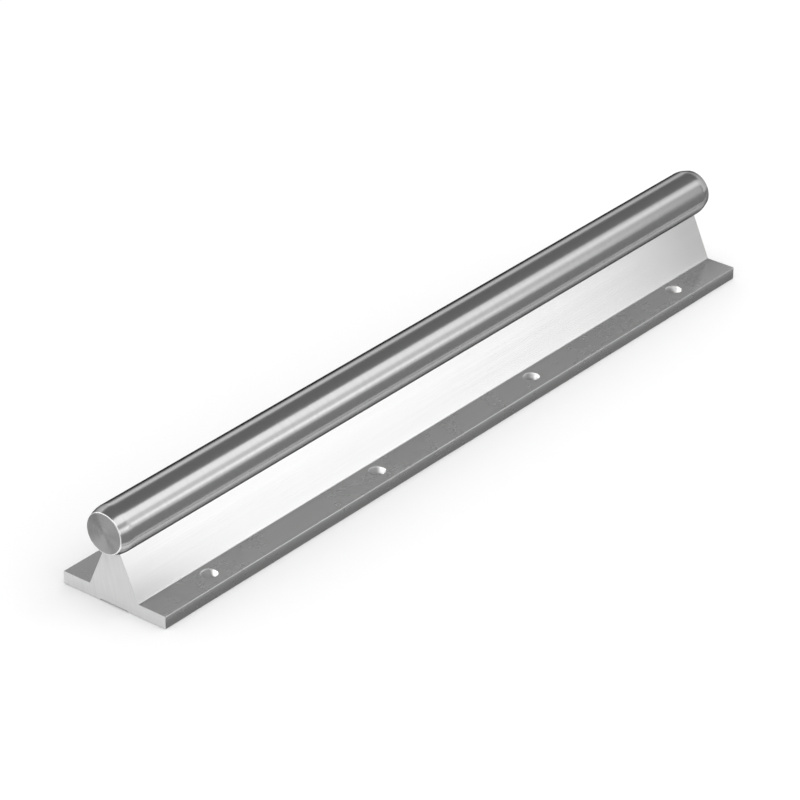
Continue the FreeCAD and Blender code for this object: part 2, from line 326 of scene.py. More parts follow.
def make_line_grain(name: str) -> bpy.types.NodeTree:
    """Fine parallel lines left by a tool: two octaves of stretched noise give their height and their tone.

    Args:
        name: The group's name.

    Returns:
        A group that takes a vector whose unit is one line across, and puts out the lines' height and tone.
    """
    tree = start_group(name, {
        "Vector": ("INPUT", "NodeSocketVector"),
        "Broad Share": ("INPUT", "NodeSocketFloat"),
        "Height": ("OUTPUT", "NodeSocketFloat"),
        "Tone": ("OUTPUT", "NodeSocketFloat"),
    })
    given = add_node(tree, "NodeGroupInput").outputs
    fine = add_node(tree, "ShaderNodeTexNoise", {"Vector": given["Vector"], "Scale": 1.0, "Detail": 2.0})
    wide = add_node(tree, "ShaderNodeVectorMath", {0: given["Vector"], "Scale": 0.21}, operation="SCALE")
    broad = add_node(tree, "ShaderNodeTexNoise", {"Vector": wide.outputs[0], "Scale": 1.0, "Detail": 1.0})
    height = add_node(tree, "ShaderNodeMix", {"Factor": given["Broad Share"], 2: fine.outputs["Fac"],
                                              3: broad.outputs["Fac"]}, data_type="FLOAT")
    tone = add_node(tree, "ShaderNodeMapRange", {"Value": height.outputs[0], "From Min": 0.32,
                                                 "From Max": 0.68})
    add_node(tree, "NodeGroupOutput", {"Height": height.outputs[0], "Tone": tone.outputs["Result"]})
    return tree


def make_handling(name: str) -> bpy.types.NodeTree:
    """Faint cloudy marks of handling and wiping: soft noise, pulled to its extremes.

    Args:
        name: The group's name.

    Returns:
        A group that takes Object coordinates and puts out a mask from 0, clean, to 1, smeared.
    """
    tree = start_group(name, {
        "Vector": ("INPUT", "NodeSocketVector"),
        "Mask": ("OUTPUT", "NodeSocketFloat"),
    })
    given = add_node(tree, "NodeGroupInput").outputs
    cloud = add_node(tree, "ShaderNodeTexNoise", {"Vector": given["Vector"], "Scale": 45.0, "Detail": 4.0,
                                                  "Roughness": 0.55, "Distortion": 0.6})
    mask = add_node(tree, "ShaderNodeMapRange", {"Value": cloud.outputs["Fac"], "From Min": 0.38,
                                                 "From Max": 0.72}, interpolation_type="SMOOTHSTEP")
    add_node(tree, "NodeGroupOutput", {"Mask": mask.outputs["Result"]})
    return tree


EFFECT_MAKERS = {Effect.LINE_GRAIN: make_line_grain, Effect.HANDLING: make_handling}


class Lay(Enum):
    """Which way a tool's lines run on a surface."""

    LENGTHWISE = "along the rail"
    AROUND = "round the shaft's axis"
    RINGS = "in rings on the shaft's end"
    SAWN = "across a sawn end"
    BORED = "round a bored hole"


@dataclass(frozen=True)
class MetalFinish:
    """A machined metal: its colour, its gloss and the lines that its tool left. Lengths in millimetres.

    Attributes:
        name: The material's name.
        slot: The record's slot that it belongs to; not used.
        dark: Grey in the lines' grooves.
        light: Grey on the lines' ridges.
        smooth: Roughness of the cleanest stretches.
        rough: Roughness of the dullest ones.
        smear: Roughness that handling marks add.
        lay: Which way the lines run.
        spacing: Width of one line.
        run: Length over which a line changes.
        depth: Height of the lines' relief.
        broad: Share of the broad lines in the height.
        stretch: How far highlights stretch across the lines.
        metallic: How metallic the surface is.
        painted_limb_shade: Share of the reflection that is left where the surface turns away from the eye;
            below one it is a painted shade that darkens the outline.
        axis_height: Height of the axis of lines that run in rings.
    """

    name: str
    slot: str
    dark: float
    light: float
    smooth: float
    rough: float
    smear: float
    lay: Lay
    spacing: float
    run: float
    depth: float
    broad: float = 0.35
    stretch: float = 0.2
    metallic: float = 1.0
    painted_limb_shade: float = 1.0
    axis_height: float = 0.0

    def material(self) -> bpy.types.Material:
        """The finish as a material, made on its first use."""
        return bpy.data.materials.get(self.name) or self.make()

    def make(self) -> bpy.types.Material:
        """Builds the material's nodes.

        Returns:
            The new material.
        """
        material = empty_material(self.name)
        tree = material.node_tree
        place = add_node(tree, "ShaderNodeTexCoord").outputs["Object"]
        grain = {"Vector": self.line_vector(tree, place), "Broad Share": self.broad}
        lines = add_node(tree, "ShaderNodeGroup", grain, node_tree=Effect.LINE_GRAIN.group())
        marks = add_node(tree, "ShaderNodeGroup", {"Vector": place}, node_tree=Effect.HANDLING.group())
        colour = add_node(tree, "ShaderNodeMix", {"Factor": lines.outputs["Tone"], 6: grey(self.dark),
                                                  7: grey(self.light)}, data_type="RGBA")
        gloss = add_node(tree, "ShaderNodeMapRange", {"Value": lines.outputs["Tone"], "To Min": self.rough,
                                                      "To Max": self.smooth})
        dull = add_node(tree, "ShaderNodeMath", {0: marks.outputs["Mask"], 1: self.smear,
                                                 2: gloss.outputs["Result"]}, operation="MULTIPLY_ADD")
        relief = add_node(tree, "ShaderNodeBump", {"Strength": 1.0, "Distance": self.depth * MM,
                                                   "Height": lines.outputs["Height"]})
        tangent = add_node(tree, "ShaderNodeTangent", direction_type="RADIAL", axis="X")
        shader = add_node(tree, "ShaderNodeBsdfPrincipled", {
            "Base Color": colour.outputs[2],
            "Roughness": dull.outputs[0],
            "Normal": relief.outputs["Normal"],
            "Tangent": tangent.outputs["Tangent"],
            "Metallic": self.metallic,
            # A Specular Tint below one darkens the reflection at grazing angles: painted shade along the
            # outline
            "Specular Tint": grey(self.painted_limb_shade),
            "Anisotropic": self.stretch,
            "Anisotropic Rotation": 0.0 if self.lay is Lay.LENGTHWISE else QUARTER_TURN,
        })
        add_node(tree, "ShaderNodeOutputMaterial", {"Surface": shader.outputs["BSDF"]})
        return material

    def line_vector(self, tree: bpy.types.NodeTree, place: bpy.types.NodeSocket) -> bpy.types.NodeSocket:
        """Scales Object coordinates so that one unit is one line across, and one run along the line.

        Args:
            tree: The material's node tree.
            place: The Object coordinates.

        Returns:
            The scaled vector's socket.
        """
        across = 1 / (self.spacing * MM)
        along = 1 / (self.run * MM)
        if self.lay is Lay.RINGS:
            to_axis = (0.0, 0.0, -self.axis_height * MM)
            from_axis = add_node(tree, "ShaderNodeVectorMath", {0: place, 1: to_axis}).outputs[0]
            flat = add_node(tree, "ShaderNodeVectorMath", {0: from_axis, 1: (0.0, 1.0, 1.0)},
                            operation="MULTIPLY").outputs[0]
            radius = add_node(tree, "ShaderNodeVectorMath", {0: flat}, operation="LENGTH").outputs["Value"]
            count = add_node(tree, "ShaderNodeMath", {0: radius, 1: across}, operation="MULTIPLY")
            drift = add_node(tree, "ShaderNodeVectorMath", {0: flat, "Scale": along}, operation="SCALE")
            parts = add_node(tree, "ShaderNodeSeparateXYZ", {0: drift.outputs[0]})
            rings = add_node(tree, "ShaderNodeCombineXYZ", {"X": count.outputs[0], "Y": parts.outputs["Y"],
                                                            "Z": parts.outputs["Z"]})
            return rings.outputs[0]
        scale, tilt = {
            Lay.LENGTHWISE: ((along, across, across), 0.0),
            Lay.AROUND: ((across, along, along), 0.0),
            Lay.SAWN: ((along, across, along), SAW_TILT),
            Lay.BORED: ((along, along, across), 0.0),
        }[self.lay]
        turned = add_node(tree, "ShaderNodeMapping", {"Vector": place, "Rotation": (tilt, 0.0, 0.0)})
        scaled = add_node(tree, "ShaderNodeMapping", {"Vector": turned.outputs[0], "Scale": scale})
        return scaled.outputs[0]


MILLED = MetalFinish("mill_aluminium", "rail_aluminium", dark=0.575, light=0.585, smooth=0.265, rough=0.272,
                     smear=0.02, lay=Lay.LENGTHWISE, spacing=0.3, run=90.0, depth=0.0003)
# Painted highlight: the web and the cradle wear a lit copy of the rail's aluminium, much paler than the
# milled flange
PAINTED_LIT_ALUMINIUM = MetalFinish("painted_lit_aluminium", "rail_aluminium", dark=0.94, light=0.97, smooth=0.18, rough=0.22,
                     smear=0.02, lay=Lay.LENGTHWISE, spacing=0.35, run=120.0, depth=0.001)
SAWN = MetalFinish("sawn_aluminium", "rail_aluminium", dark=0.635, light=0.695, smooth=0.46, rough=0.54,
                   smear=0.03, lay=Lay.SAWN, spacing=0.22, run=14.0, depth=0.002, broad=0.2)
BORED = MetalFinish("bored_aluminium", "rail_aluminium", dark=0.50, light=0.55, smooth=0.42, rough=0.52,
                    smear=0.0, lay=Lay.BORED, spacing=0.3, run=6.0, depth=0.003, metallic=0.3)
# Ground steel, its reflection darkened at grazing angles: painted shade along the shaft's outline
GROUND = MetalFinish("ground_steel", "shaft_steel", dark=0.49, light=0.53, smooth=0.19, rough=0.22,
                     smear=0.02, lay=Lay.AROUND, spacing=0.2, run=16.0, depth=0.0005, broad=0.2, stretch=0.1,
                     painted_limb_shade=0.12)
TURNED = MetalFinish("turned_steel", "shaft_steel", dark=0.41, light=0.48, smooth=0.50, rough=0.56,
                     smear=0.02, lay=Lay.RINGS, spacing=0.3, run=60.0, depth=0.0012, stretch=0.9)
# Painted highlight: the rounded rims at the shaft's ends are far paler than the ground steel, so that they
# shine as a bright arc
PAINTED_RIM_HIGHLIGHT = MetalFinish("painted_rim_highlight_steel", "shaft_steel", dark=0.84, light=0.90, smooth=0.20, rough=0.24,
                        smear=0.0, lay=Lay.AROUND, spacing=0.2, run=16.0, depth=0.0005, stretch=0.1)
BLACKENED = MetalFinish("blackened_steel", "screw_steel", dark=0.035, light=0.075, smooth=0.36, rough=0.52,
                        smear=0.08, lay=Lay.BORED, spacing=0.5, run=3.0, depth=0.004, metallic=0.85)


@dataclass
class Shell:
    """Patches of surface, gathered in millimetres and welded into one closed mesh.

    Attributes:
        name: The piece's name.
        finishes: The finishes that its faces wear, in the order of its material slots.
        points: Points of each patch, shape (n, 3).
        faces: Numbers of the corners of each patch's faces, among all points.
        worn: Number of the finish of each patch's faces.
    """

    name: str
    finishes: list[MetalFinish]
    points: list[np.ndarray] = field(default_factory=list)
    faces: list[np.ndarray] = field(default_factory=list)
    worn: list[np.ndarray] = field(default_factory=list)

    def add_faces(self, points: np.ndarray, faces: np.ndarray, finish: MetalFinish) -> None:
        """Adds faces of one size.

        Args:
            points: Their points, shape (n, 3).
            faces: Numbers of each face's corners among these points, shape (faces, corners).
            finish: The finish that they wear.
        """
        self.faces.append(faces + sum(map(len, self.points)))
        self.points.append(points)
        self.worn.append(np.full(len(faces), self.finishes.index(finish)))

    def add_grid(self, grid: np.ndarray, finish: MetalFinish, keep: np.ndarray | None = None) -> None:
        """Adds a grid of points as quads that face the side where columns cross rows right-handed.

        Args:
            grid: Points in rows and columns, shape (rows, columns, 3).
            finish: The finish of these faces.
            keep: Which quads are made, shape (rows - 1, columns - 1); all of them if None.
        """
        rows, columns = grid.shape[:2]
        number = np.arange(rows * columns).reshape(rows, columns)
        quads = np.stack([number[:-1, :-1], number[:-1, 1:], number[1:, 1:], number[1:, :-1]], axis=-1)
        quads = quads.reshape(-1, 4) if keep is None else quads[keep]
        self.add_faces(grid.reshape(-1, 3), quads, finish)

    def add_cap(self, ring: np.ndarray, finish: MetalFinish) -> None:
        """Adds one flat face that is anticlockwise seen from its outer side."""
        self.add_faces(ring, np.arange(len(ring))[None], finish)

    def piece(self) -> bpy.types.Object:
        """Welds the points, makes the mesh in metres and links its object.

        Returns:
            The new object, at the origin, in its finishes.
        """
        points = np.concatenate(self.points)
        _, first, place = np.unique(np.round(points / WELD).astype(np.int64), axis=0, return_index=True,
                                    return_inverse=True)
        place = place.reshape(-1)
        corners = [face for faces in self.faces for face in place[faces].tolist()]
        mesh = bpy.data.meshes.new(self.name)
        mesh.from_pydata(points[first] * MM, [], corners)
        mesh.polygons.foreach_set("material_index", np.concatenate(self.worn).astype(np.int32))
        mesh.polygons.foreach_set("use_smooth", np.ones(len(corners), dtype=bool))
        mesh.set_sharp_from_angle(angle=SHARP_ANGLE)
        mesh.update()
        for finish in self.finishes:
            mesh.materials.append(finish.material())
        return add_object(self.name, mesh)


def install(shell: Shell, node: str) -> None:
    """Makes a shell's piece and puts it in the place of a node of the frame.

    Args:
        shell: The surfaces of the piece.
        node: The node that it stands for.
    """
    made = shell.piece()
    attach(made, BODY)
    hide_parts(node)
    LOG.info("%s stands for %s: %d faces", made.name, node, len(made.data.polygons))


@dataclass
class SupportRail:
    """The extruded rail: flanged foot, sloping web and cradle, with drilled holes. Lengths in millimetres.

    Attributes:
        length: Along the shaft.
        width: Across the foot.
        holes: Places of the holes along the rail.
        row: Distance of each row of flange holes from the middle.
        hole_radius: Radius of the flange holes.
        axis: Height of the shaft's axis.
        shaft_radius: Radius of the shaft in the cradle.
    """

    length: float
    width: float
    holes: np.ndarray
    row: float
    hole_radius: float
    axis: float
    shaft_radius: float
    flange: float = 5.5
    web_angle: float = 48.0
    web_top: float = 4.0
    seat_gap: float = 0.02
    foot_radius: float = 0.5
    edge_radius: float = 0.3
    soft_radius: float = 0.16
    relief_half: float = 7.0
    relief: float = 0.5
    bore_radius: float = 3.3
    head_bore: float = 5.5
    head_seat: float = 8.0
    saw_bevel: float = 0.1
    rim_bevel: float = 0.2
    patch_half: float = 6.2
    flange_patch: float = 4.2
    seat_patch: float = 3.62
    relief_patch: float = 6.3

    def cradle(self, y: np.ndarray) -> np.ndarray:
        """Height of the cradle: the shaft's axis less the chord of a circle just wider than the shaft."""
        return self.axis - np.sqrt((self.shaft_radius + self.seat_gap) ** 2 - np.asarray(y) ** 2)

    def section(self) -> np.ndarray:
        """The extrusion's outline: straight sides, an arc at every corner, and the cradle's arc.

        The web's foot lies further out than its top by its height times the tangent of half the web's angle.
        The left half mirrors the right half.

        Returns:
            Points (y, z), anticlockwise seen from +X, from the middle of the relief, shape (n, 2).
        """
        half = self.width / 2
        lip = float(self.cradle(self.web_top))
        foot = self.web_top + (lip - self.flange) * math.tan(math.radians(self.web_angle / 2))
        outer_lines = PATCH_LINES[SIDE_STEPS // 2:]
        seat = self.seat_patch * outer_lines[::-1]
        flange = self.row + self.flange_patch * PATCH_LINES
        relief = self.relief_patch * outer_lines
        corners = np.array([
            (0.0, self.relief),
            (self.relief_half, self.relief),
            (self.relief_half, 0.0),
            (half, 0.0),
            (half, self.flange),
            (foot, self.flange),
            (self.web_top, lip),
            (self.seat_patch, float(self.cradle(self.seat_patch))),
        ])
        radii = np.array([self.soft_radius, self.soft_radius, self.edge_radius, self.edge_radius,
                          self.foot_radius, self.soft_radius])
        arcs = rounded_corners(corners, radii)
        relief_corner, relief_lip, low_edge, top_edge, foot_fillet, cradle_lip = arcs
        right = np.concatenate([
            np.column_stack([relief, np.full(len(relief), self.relief)]),
            relief_corner,
            relief_lip,
            np.column_stack([flange, np.zeros(len(flange))]),
            low_edge,
            top_edge,
            np.column_stack([flange[::-1], np.full(len(flange), self.flange)]),
            foot_fillet,
            cradle_lip,
            np.column_stack([seat, self.cradle(seat)]),
        ])
        return np.concatenate([right, right[-2:0:-1] * (-1, 1)])

    def stations(self) -> np.ndarray:
        """Places of the sections along the rail, from one bevelled end to the other.

        Returns:
            Rising x, shape (n,).
        """
        end = self.length / 2
        ends = np.array([-end, self.saw_bevel - end, end - self.saw_bevel, end])
        return np.insert(ends, 2, bar_stations(end, self.holes, self.patch_half))

    def patch_edge(self, x: float, y: float, half: float) -> np.ndarray:
        """The rectangle of the patch about a hole, of a half width across the rail, as a ring."""
        return rectangle_ring(x + self.patch_half * PATCH_LINES, y + half * PATCH_LINES)

    def kept(self, grid: np.ndarray) -> np.ndarray:
        """Which quads of the swept outline lie outside the holes' patches.

        Args:
            grid: The swept outline, shape (rows, columns, 3).

        Returns:
            True where a quad stays, shape (rows - 1, columns - 1).
        """
        x, y, z = np.moveaxis(quad_middles(grid), -1, 0)
        y = np.abs(y)
        near = hole_distance(x, self.holes) < self.patch_half
        level = np.isclose(z, 0, atol=ON_LEVEL) | np.isclose(z, self.flange, atol=ON_LEVEL)
        flange = (np.abs(y - self.row) < self.flange_patch) & level
        relief = (y < self.relief_patch) & np.isclose(z, self.relief, atol=ON_LEVEL)
        seat = (y < self.seat_patch) & (z > self.head_seat)
        return ~(near & (flange | relief | seat))

    def shell(self) -> Shell:
        """Sweeps the outline along the rail, bores its holes and closes its ends.

        The faces above the fillet at the web's foot, those of the web and the cradle, wear a paler, lit copy
        of the aluminium: a painted highlight.
        The fillet ends above the flange by its radius times one less the sine of half the web's angle.

        Returns:
            The rail's surfaces.
        """
        shell = Shell("rail_body", [MILLED, PAINTED_LIT_ALUMINIUM, SAWN, BORED])
        x = self.stations()
        outline = self.section()
        sections = np.repeat(outline[None], len(x), axis=0)
        sections[[0, -1]] = inset(outline, self.saw_bevel)
        places = np.broadcast_to(x[:, None, None], (*sections.shape[:2], 1))
        grid = closed(np.concatenate([places, sections], axis=-1))
        shell.add_grid(grid[:2], SAWN)
        body = grid[1:-1]
        kept = self.kept(body)
        fillet_top = self.flange + self.foot_radius * (1 - math.sin(math.radians(self.web_angle / 2)))
        web = quad_middles(body)[..., 2] > fillet_top
        # The web and the cradle get the painted highlight of the lit copy; the rest is milled
        shell.add_grid(body, MILLED, kept & ~web)
        shell.add_grid(body, PAINTED_LIT_ALUMINIUM, kept & web)
        shell.add_grid(grid[-2:], SAWN)
        shell.add_cap(grid[0, -1:0:-1], SAWN)
        shell.add_cap(grid[-1, :-1], SAWN)
        for hole in self.holes:
            self.bore_flange(shell, hole, self.row)
            self.bore_flange(shell, hole, -self.row)
            self.bore_web(shell, hole)
        return shell

    def bore_flange(self, shell: Shell, x: float, y: float) -> None:
        """Bores a plain hole through a flange, with a small bevel at both rims.

        Args:
            shell: The rail's surfaces.
            x: The hole's place along the rail.
            y: The hole's place across the rail.
        """
        rim = circle_ring(x, y, self.hole_radius + self.rim_bevel)
        wall = circle_ring(x, y, self.hole_radius)
        rings = patch_rings(self.patch_edge(x, y, self.flange_patch), rim)
        shell.add_grid(closed([lift(ring, self.flange) for ring in rings]), MILLED)
        shell.add_grid(closed([
            lift(rim, self.flange),
            lift(wall, self.flange - self.rim_bevel),
            lift(wall, self.rim_bevel),
            lift(rim, 0.0),
        ]), BORED)
        shell.add_grid(closed([lift(ring, 0.0) for ring in rings[::-1]]), MILLED)

    def bore_web(self, shell: Shell, x: float) -> None:
        """Bores a stepped screw hole from the cradle down through the web, with room for the head below.

        Args:
            shell: The rail's surfaces.
            x: The hole's place along the rail.
        """
        bevel = self.saw_bevel
        upper_rim = circle_ring(x, 0.0, self.bore_radius + bevel)
        wall = circle_ring(x, 0.0, self.bore_radius)
        room = circle_ring(x, 0.0, self.head_bore)
        lower_rim = circle_ring(x, 0.0, self.head_bore + bevel)
        upper = patch_rings(self.patch_edge(x, 0.0, self.seat_patch), upper_rim)
        lower = patch_rings(self.patch_edge(x, 0.0, self.relief_patch), lower_rim)
        # The cradle round the hole wears the lit copy too: a painted highlight
        shell.add_grid(closed([lift(ring, self.cradle(ring[:, 1])) for ring in upper]), PAINTED_LIT_ALUMINIUM)
        shell.add_grid(closed([
            lift(upper_rim, self.cradle(upper_rim[:, 1])),
            lift(wall, self.cradle(wall[:, 1]) - bevel),
            lift(wall, self.head_seat),
            lift(room, self.head_seat),
            lift(room, self.relief + bevel),
            lift(lower_rim, self.relief),
        ]), BORED)
        shell.add_grid(closed([lift(ring, self.relief) for ring in lower[::-1]]), MILLED)


@dataclass
class Thread:
    """A coarse metric thread that the screws and the shaft's tapped holes share. Lengths in millimetres."""

    major: float = 2.95
    minor: float = 2.42
    pitch: float = 1.0
    play: float = 0.05
    rows_per_turn: int = 8

    def radius(self, angle: np.ndarray, height: np.ndarray, share: np.ndarray | float = 1.0) -> np.ndarray:
        """Radius of the screw's thread: the crest's, less what is cut away times the share that is cut."""
        crest = thread_height(angle, height, self.pitch)
        return self.major - share * (1 - crest) * (self.major - self.minor)

    def rows(self, first: float, last: float) -> np.ndarray:
        """Heights of the rows that carry the thread, from the first to the last, as a column."""
        turns = abs(last - first) / self.pitch
        return np.linspace(first, last, round(turns * self.rows_per_turn) + 1)[:, None]


@dataclass
class ShaftBar:
    """The ground shaft: a round bar with bevelled ends and tapped holes underneath. Lengths in millimetres.

    Attributes:
        length: The bar's length.
        radius: The bar's radius.
        axis: Height of the bar's axis.
        holes: Places of the tapped holes along the bar.
        thread: The thread in the holes.
    """

    length: float
    radius: float
    axis: float
    holes: np.ndarray
    thread: Thread
    lead_in: float = 4.0
    lead_in_depth: float = 1.3
    face_rim: float = 0.45
    side_rim: float = 12.0
    centre_radius: float = 0.4
    face_rings: int = 6
    segments: int = 176
    patch_half: float = 5.0
    tap_top: float = 36.5
    point_angle: float = 118.0
    point_radius: float = 0.2
    countersink: float = 0.35

    @property
    def turned(self) -> MetalFinish:
        """The finish of the turned ends and tapped holes, with its rings about the bar's axis."""
        return replace(TURNED, axis_height=self.axis)

    def underside(self, y: np.ndarray) -> np.ndarray:
        """Height of the bar's lower side: the axis less the chord of its circle."""
        return self.axis - np.sqrt(self.radius**2 - y**2)

    def turns(self) -> np.ndarray:
        """Angles of the bar's lines: those of the holes' patches below, and even steps round the rest.

        A patch's line at y lies the arc sine of y over the radius away from straight below.

        Returns:
            Rising angles from +Y towards +Z, open at the end, shape (n,).
        """
        below = np.arcsin(self.patch_half / self.radius * PATCH_LINES) - math.pi / 2
        above = np.linspace(below[-1], below[0] + 2 * math.pi, self.segments + 1)[1:-1]
        return np.concatenate([below, above])

    def end_face(self) -> np.ndarray:
        """Radii of the rings on the flat of an end, from its middle outwards."""
        outermost = self.radius - self.lead_in_depth - 2 * self.face_rim
        return np.linspace(self.centre_radius, outermost, self.face_rings)

    def end_bevel(self) -> np.ndarray:
        """The bevel from the flat of an end to the bar's side, with an arc at its inner and its outer rim.

        Returns:
            Points (distance from the end, radius), shape (n, 2).
        """
        inner = self.radius - self.lead_in_depth
        corners = np.array([
            (0.0, 0.0),
            (0.0, inner),
            (self.lead_in, self.radius),
            (2 * self.lead_in, self.radius),
        ])
        return rounded_corners(corners, np.array([self.face_rim, self.side_rim])).reshape(-1, 2)

    def rings(self, x: np.ndarray, radius: np.ndarray) -> np.ndarray:
        """Closed rings round the axis, one for each place and radius.

        A point's y is the radius times the angle's cosine, and it stands above the axis by the radius times
        the angle's sine.

        Args:
            x: Places along the bar, shape (rows,).
            radius: Radii, shape (rows,).

        Returns:
            A closed grid of points, shape (rows, columns + 1, 3).
        """
        angle = self.turns()
        grid = np.stack(np.broadcast_arrays(
            x[:, None],
            radius[:, None] * np.cos(angle),
            self.axis + radius[:, None] * np.sin(angle),
        ), axis=-1)
        return closed(grid)

    def shell(self) -> Shell:
        """Turns the bar, taps its holes and closes its ends.

        Returns:
            The bar's surfaces.
        """
        shell = Shell("shaft_bar", [GROUND, self.turned, PAINTED_RIM_HIGHLIGHT])
        end = self.length / 2
        near, radius = self.end_bevel().T
        side = bar_stations(end - self.lead_in, self.holes, self.patch_half)
        x = np.concatenate([near - end, side, end - near[::-1]])
        body = self.rings(x, np.concatenate([radius, np.full(len(side), self.radius), radius[::-1]]))
        flat = np.append(self.end_face(), radius[0])
        first = self.rings(np.full(len(flat), -end), flat)
        last = self.rings(np.full(len(flat), end), flat[::-1])
        shell.add_grid(first, self.turned)
        rim = len(near) // 2
        between = body[rim - 1:1 - rim]
        # The rounded rims at both ends wear the paler steel: a painted highlight
        shell.add_grid(body[:rim], PAINTED_RIM_HIGHLIGHT)
        shell.add_grid(between, GROUND, self.kept(between))
        shell.add_grid(body[-rim:], PAINTED_RIM_HIGHLIGHT)
        shell.add_grid(last, self.turned)
        shell.add_cap(first[0, -1:0:-1], self.turned)
        shell.add_cap(last[-1, :-1], self.turned)
        for hole in self.holes:
            self.tap(shell, hole)
        return shell

    def kept(self, grid: np.ndarray) -> np.ndarray:
        """Which quads of the bar's side lie outside the tapped holes' patches.

        Args:
            grid: The bar's side, shape (rows, columns, 3).

        Returns:
            True where a quad stays, shape (rows - 1, columns - 1).
        """
        x, y, z = np.moveaxis(quad_middles(grid), -1, 0)
        near = hole_distance(x, self.holes) < self.patch_half
        return ~(near & (np.abs(y) < self.patch_half) & (z < self.axis))

    def tap(self, shell: Shell, x: float) -> None:
        """Sinks a blind tapped hole into the bar's underside, from its drill point down to its rim.

        The wall's radius is the drill's plus the depth of the thread, which fades in over one turn from the
        top. The drill's point is a cone, as high as its radius over the tangent of half the point's angle.

        Args:
            shell: The bar's surfaces.
            x: The hole's place along the bar.
        """
        lines = self.patch_half * PATCH_LINES
        drill = self.thread.minor + self.thread.play
        rim = circle_ring(x, 0.0, self.thread.major + self.countersink)
        mouth = float(self.underside(rim[:, 1]).max()) + self.countersink
        depth = (drill - self.point_radius) / math.tan(math.radians(self.point_angle / 2))
        height = self.thread.rows(self.tap_top, mouth)
        fade = np.clip((self.tap_top - height) / self.thread.pitch, 0, 1)
        cut = self.thread.radius(RING_ANGLES, height) - drill + self.thread.play
        wall = upright_rings(x, RING_ANGLES, drill + fade * np.maximum(cut, 0), height)
        tip = lift(circle_ring(x, 0.0, self.point_radius), self.tap_top + depth)
        patch = patch_rings(rectangle_ring(x + lines, lines), rim)
        shell.add_cap(tip[::-1], self.turned)
        shell.add_grid(closed(np.concatenate([
            tip[None],
            wall,
            lift(rim, self.underside(rim[:, 1]))[None],
        ])), self.turned)
        shell.add_grid(closed([lift(ring, self.underside(ring[:, 1])) for ring in patch[::-1]]), GROUND)


@dataclass
class CapScrew:
    """A socket-head cap screw that stands head down in the rail. Lengths in millimetres.

    Attributes:
        name: The piece's name.
        x: Place along the rail.
        low: Height of the head's outer face.
        high: Height of the tip.
        head_radius: Radius of the head.
        thread: The thread on the shank.
    """

    name: str
    x: float
    low: float
    high: float
    head_radius: float
    thread: Thread
    head_height: float = 6.0
    head_bevel: float = 0.5
    neck_radius: float = 0.35
    tip_bevel: float = 0.8
    socket_width: float = 5.0
    socket_depth: float = 3.0
    socket_rim: float = 0.2
    floor_share: float = 0.9
    point_radius: float = 0.2
    point_depth: float = 0.8
    grip_teeth: int = 32
    grip_depth: float = 0.14
    columns: int = 96

    def shell(self) -> Shell:
        """Carries a ring from the socket's floor round the head and along the thread to the tip.

        The ring is a hexagon in the socket and a circle elsewhere; a wave of the angle flutes the head's
        side, and the shank takes the thread's height.

        Returns:
            The screw's surfaces.
        """
        shell = Shell(self.name, [BLACKENED])
        rings = np.concatenate([self.socket(), self.head(), self.shank()])
        shell.add_cap(rings[0, ::-1], BLACKENED)
        shell.add_grid(closed(rings), BLACKENED)
        shell.add_cap(rings[-1], BLACKENED)
        return shell

    @property
    def angle(self) -> np.ndarray:
        """Angles of the screw's lines round its axis, shape (columns,)."""
        return 2 * math.pi * np.arange(self.columns) / self.columns

    def rings(self, radius: np.ndarray, height: np.ndarray) -> np.ndarray:
        """Rings about the screw's axis, of radii and heights that broadcast to (rows, columns)."""
        return upright_rings(self.x, self.angle, radius, height)

    def socket(self) -> np.ndarray:
        """The socket: a drilled point, a flat floor, six walls and a small countersink.

        A wall's radius is half the width over the cosine of the angle from the wall's middle.

        Returns:
            Rings from the floor out to the mouth, shape (rows, columns, 3).
        """
        sixth = math.pi / 3
        half = self.socket_width / 2
        wall = half / np.cos(self.angle % sixth - sixth / 2)
        floor = self.low + self.socket_depth
        corner = half / math.cos(sixth / 2)
        mouth = self.low + self.socket_rim
        radii = np.stack([
            np.full_like(wall, self.point_radius),
            np.full_like(wall, half * self.floor_share),
            wall,
            wall,
            np.full_like(wall, corner + self.socket_rim),
        ])
        heights = np.array([floor + self.point_depth, floor, floor, mouth, self.low])[:, None]
        return self.rings(radii, heights)

    def head(self) -> np.ndarray:
        """The head: its bevelled outer edge, its fluted side and the face that bears on the rail.

        A flute's depth is half of one less the cosine of the angle times the number of teeth.

        Returns:
            Rings from the outer face to the neck, shape (rows, columns, 3).
        """
        seat = self.low + self.head_height
        edge = self.head_radius - self.head_bevel
        rows = np.array([
            (edge - HOLD, self.low, 0.0),
            (edge, self.low, 0.0),
            (self.head_radius, self.low + self.head_bevel, 0.0),
            (self.head_radius, self.low + 2 * self.head_bevel, 1.0),
            (self.head_radius, seat - 2 * self.neck_radius, 1.0),
            (self.head_radius, seat - self.neck_radius, 0.0),
            (self.head_radius - self.neck_radius, seat, 0.0),
        ])
        flute = self.grip_depth * (0.5 - 0.5 * np.cos(self.grip_teeth * self.angle))
        return self.rings(rows[:, :1] - rows[:, 2:] * flute, rows[:, 1:2])

    def shank(self) -> np.ndarray:
        """The rounded neck, the threaded shank and the bevelled tip.

        The neck is a quarter circle; the thread fades in over one turn and out along the tip's bevel.

        Returns:
            Rings from the neck to the tip, shape (rows, columns, 3).
        """
        seat = self.low + self.head_height
        quarter = np.linspace(0, math.pi / 2, ARC_STEPS + 1)[:, None]
        neck_radius = self.thread.major + self.neck_radius * (1 - np.sin(quarter))
        neck = self.rings(neck_radius, seat + self.neck_radius * (1 - np.cos(quarter)))
        height = self.thread.rows(seat + 2 * self.neck_radius, self.high)
        share = np.clip((height - height[0]) / self.thread.pitch, 0, 1)
        limit = self.thread.major - np.clip(height - self.high + self.tip_bevel, 0, None)
        radius = np.minimum(self.thread.radius(self.angle, height, share), limit)
        threaded = self.rings(radius, height)
        tip = self.rings(np.array([[self.point_radius]]), np.array([[self.high]]))
        return np.concatenate([neck, threaded, tip])


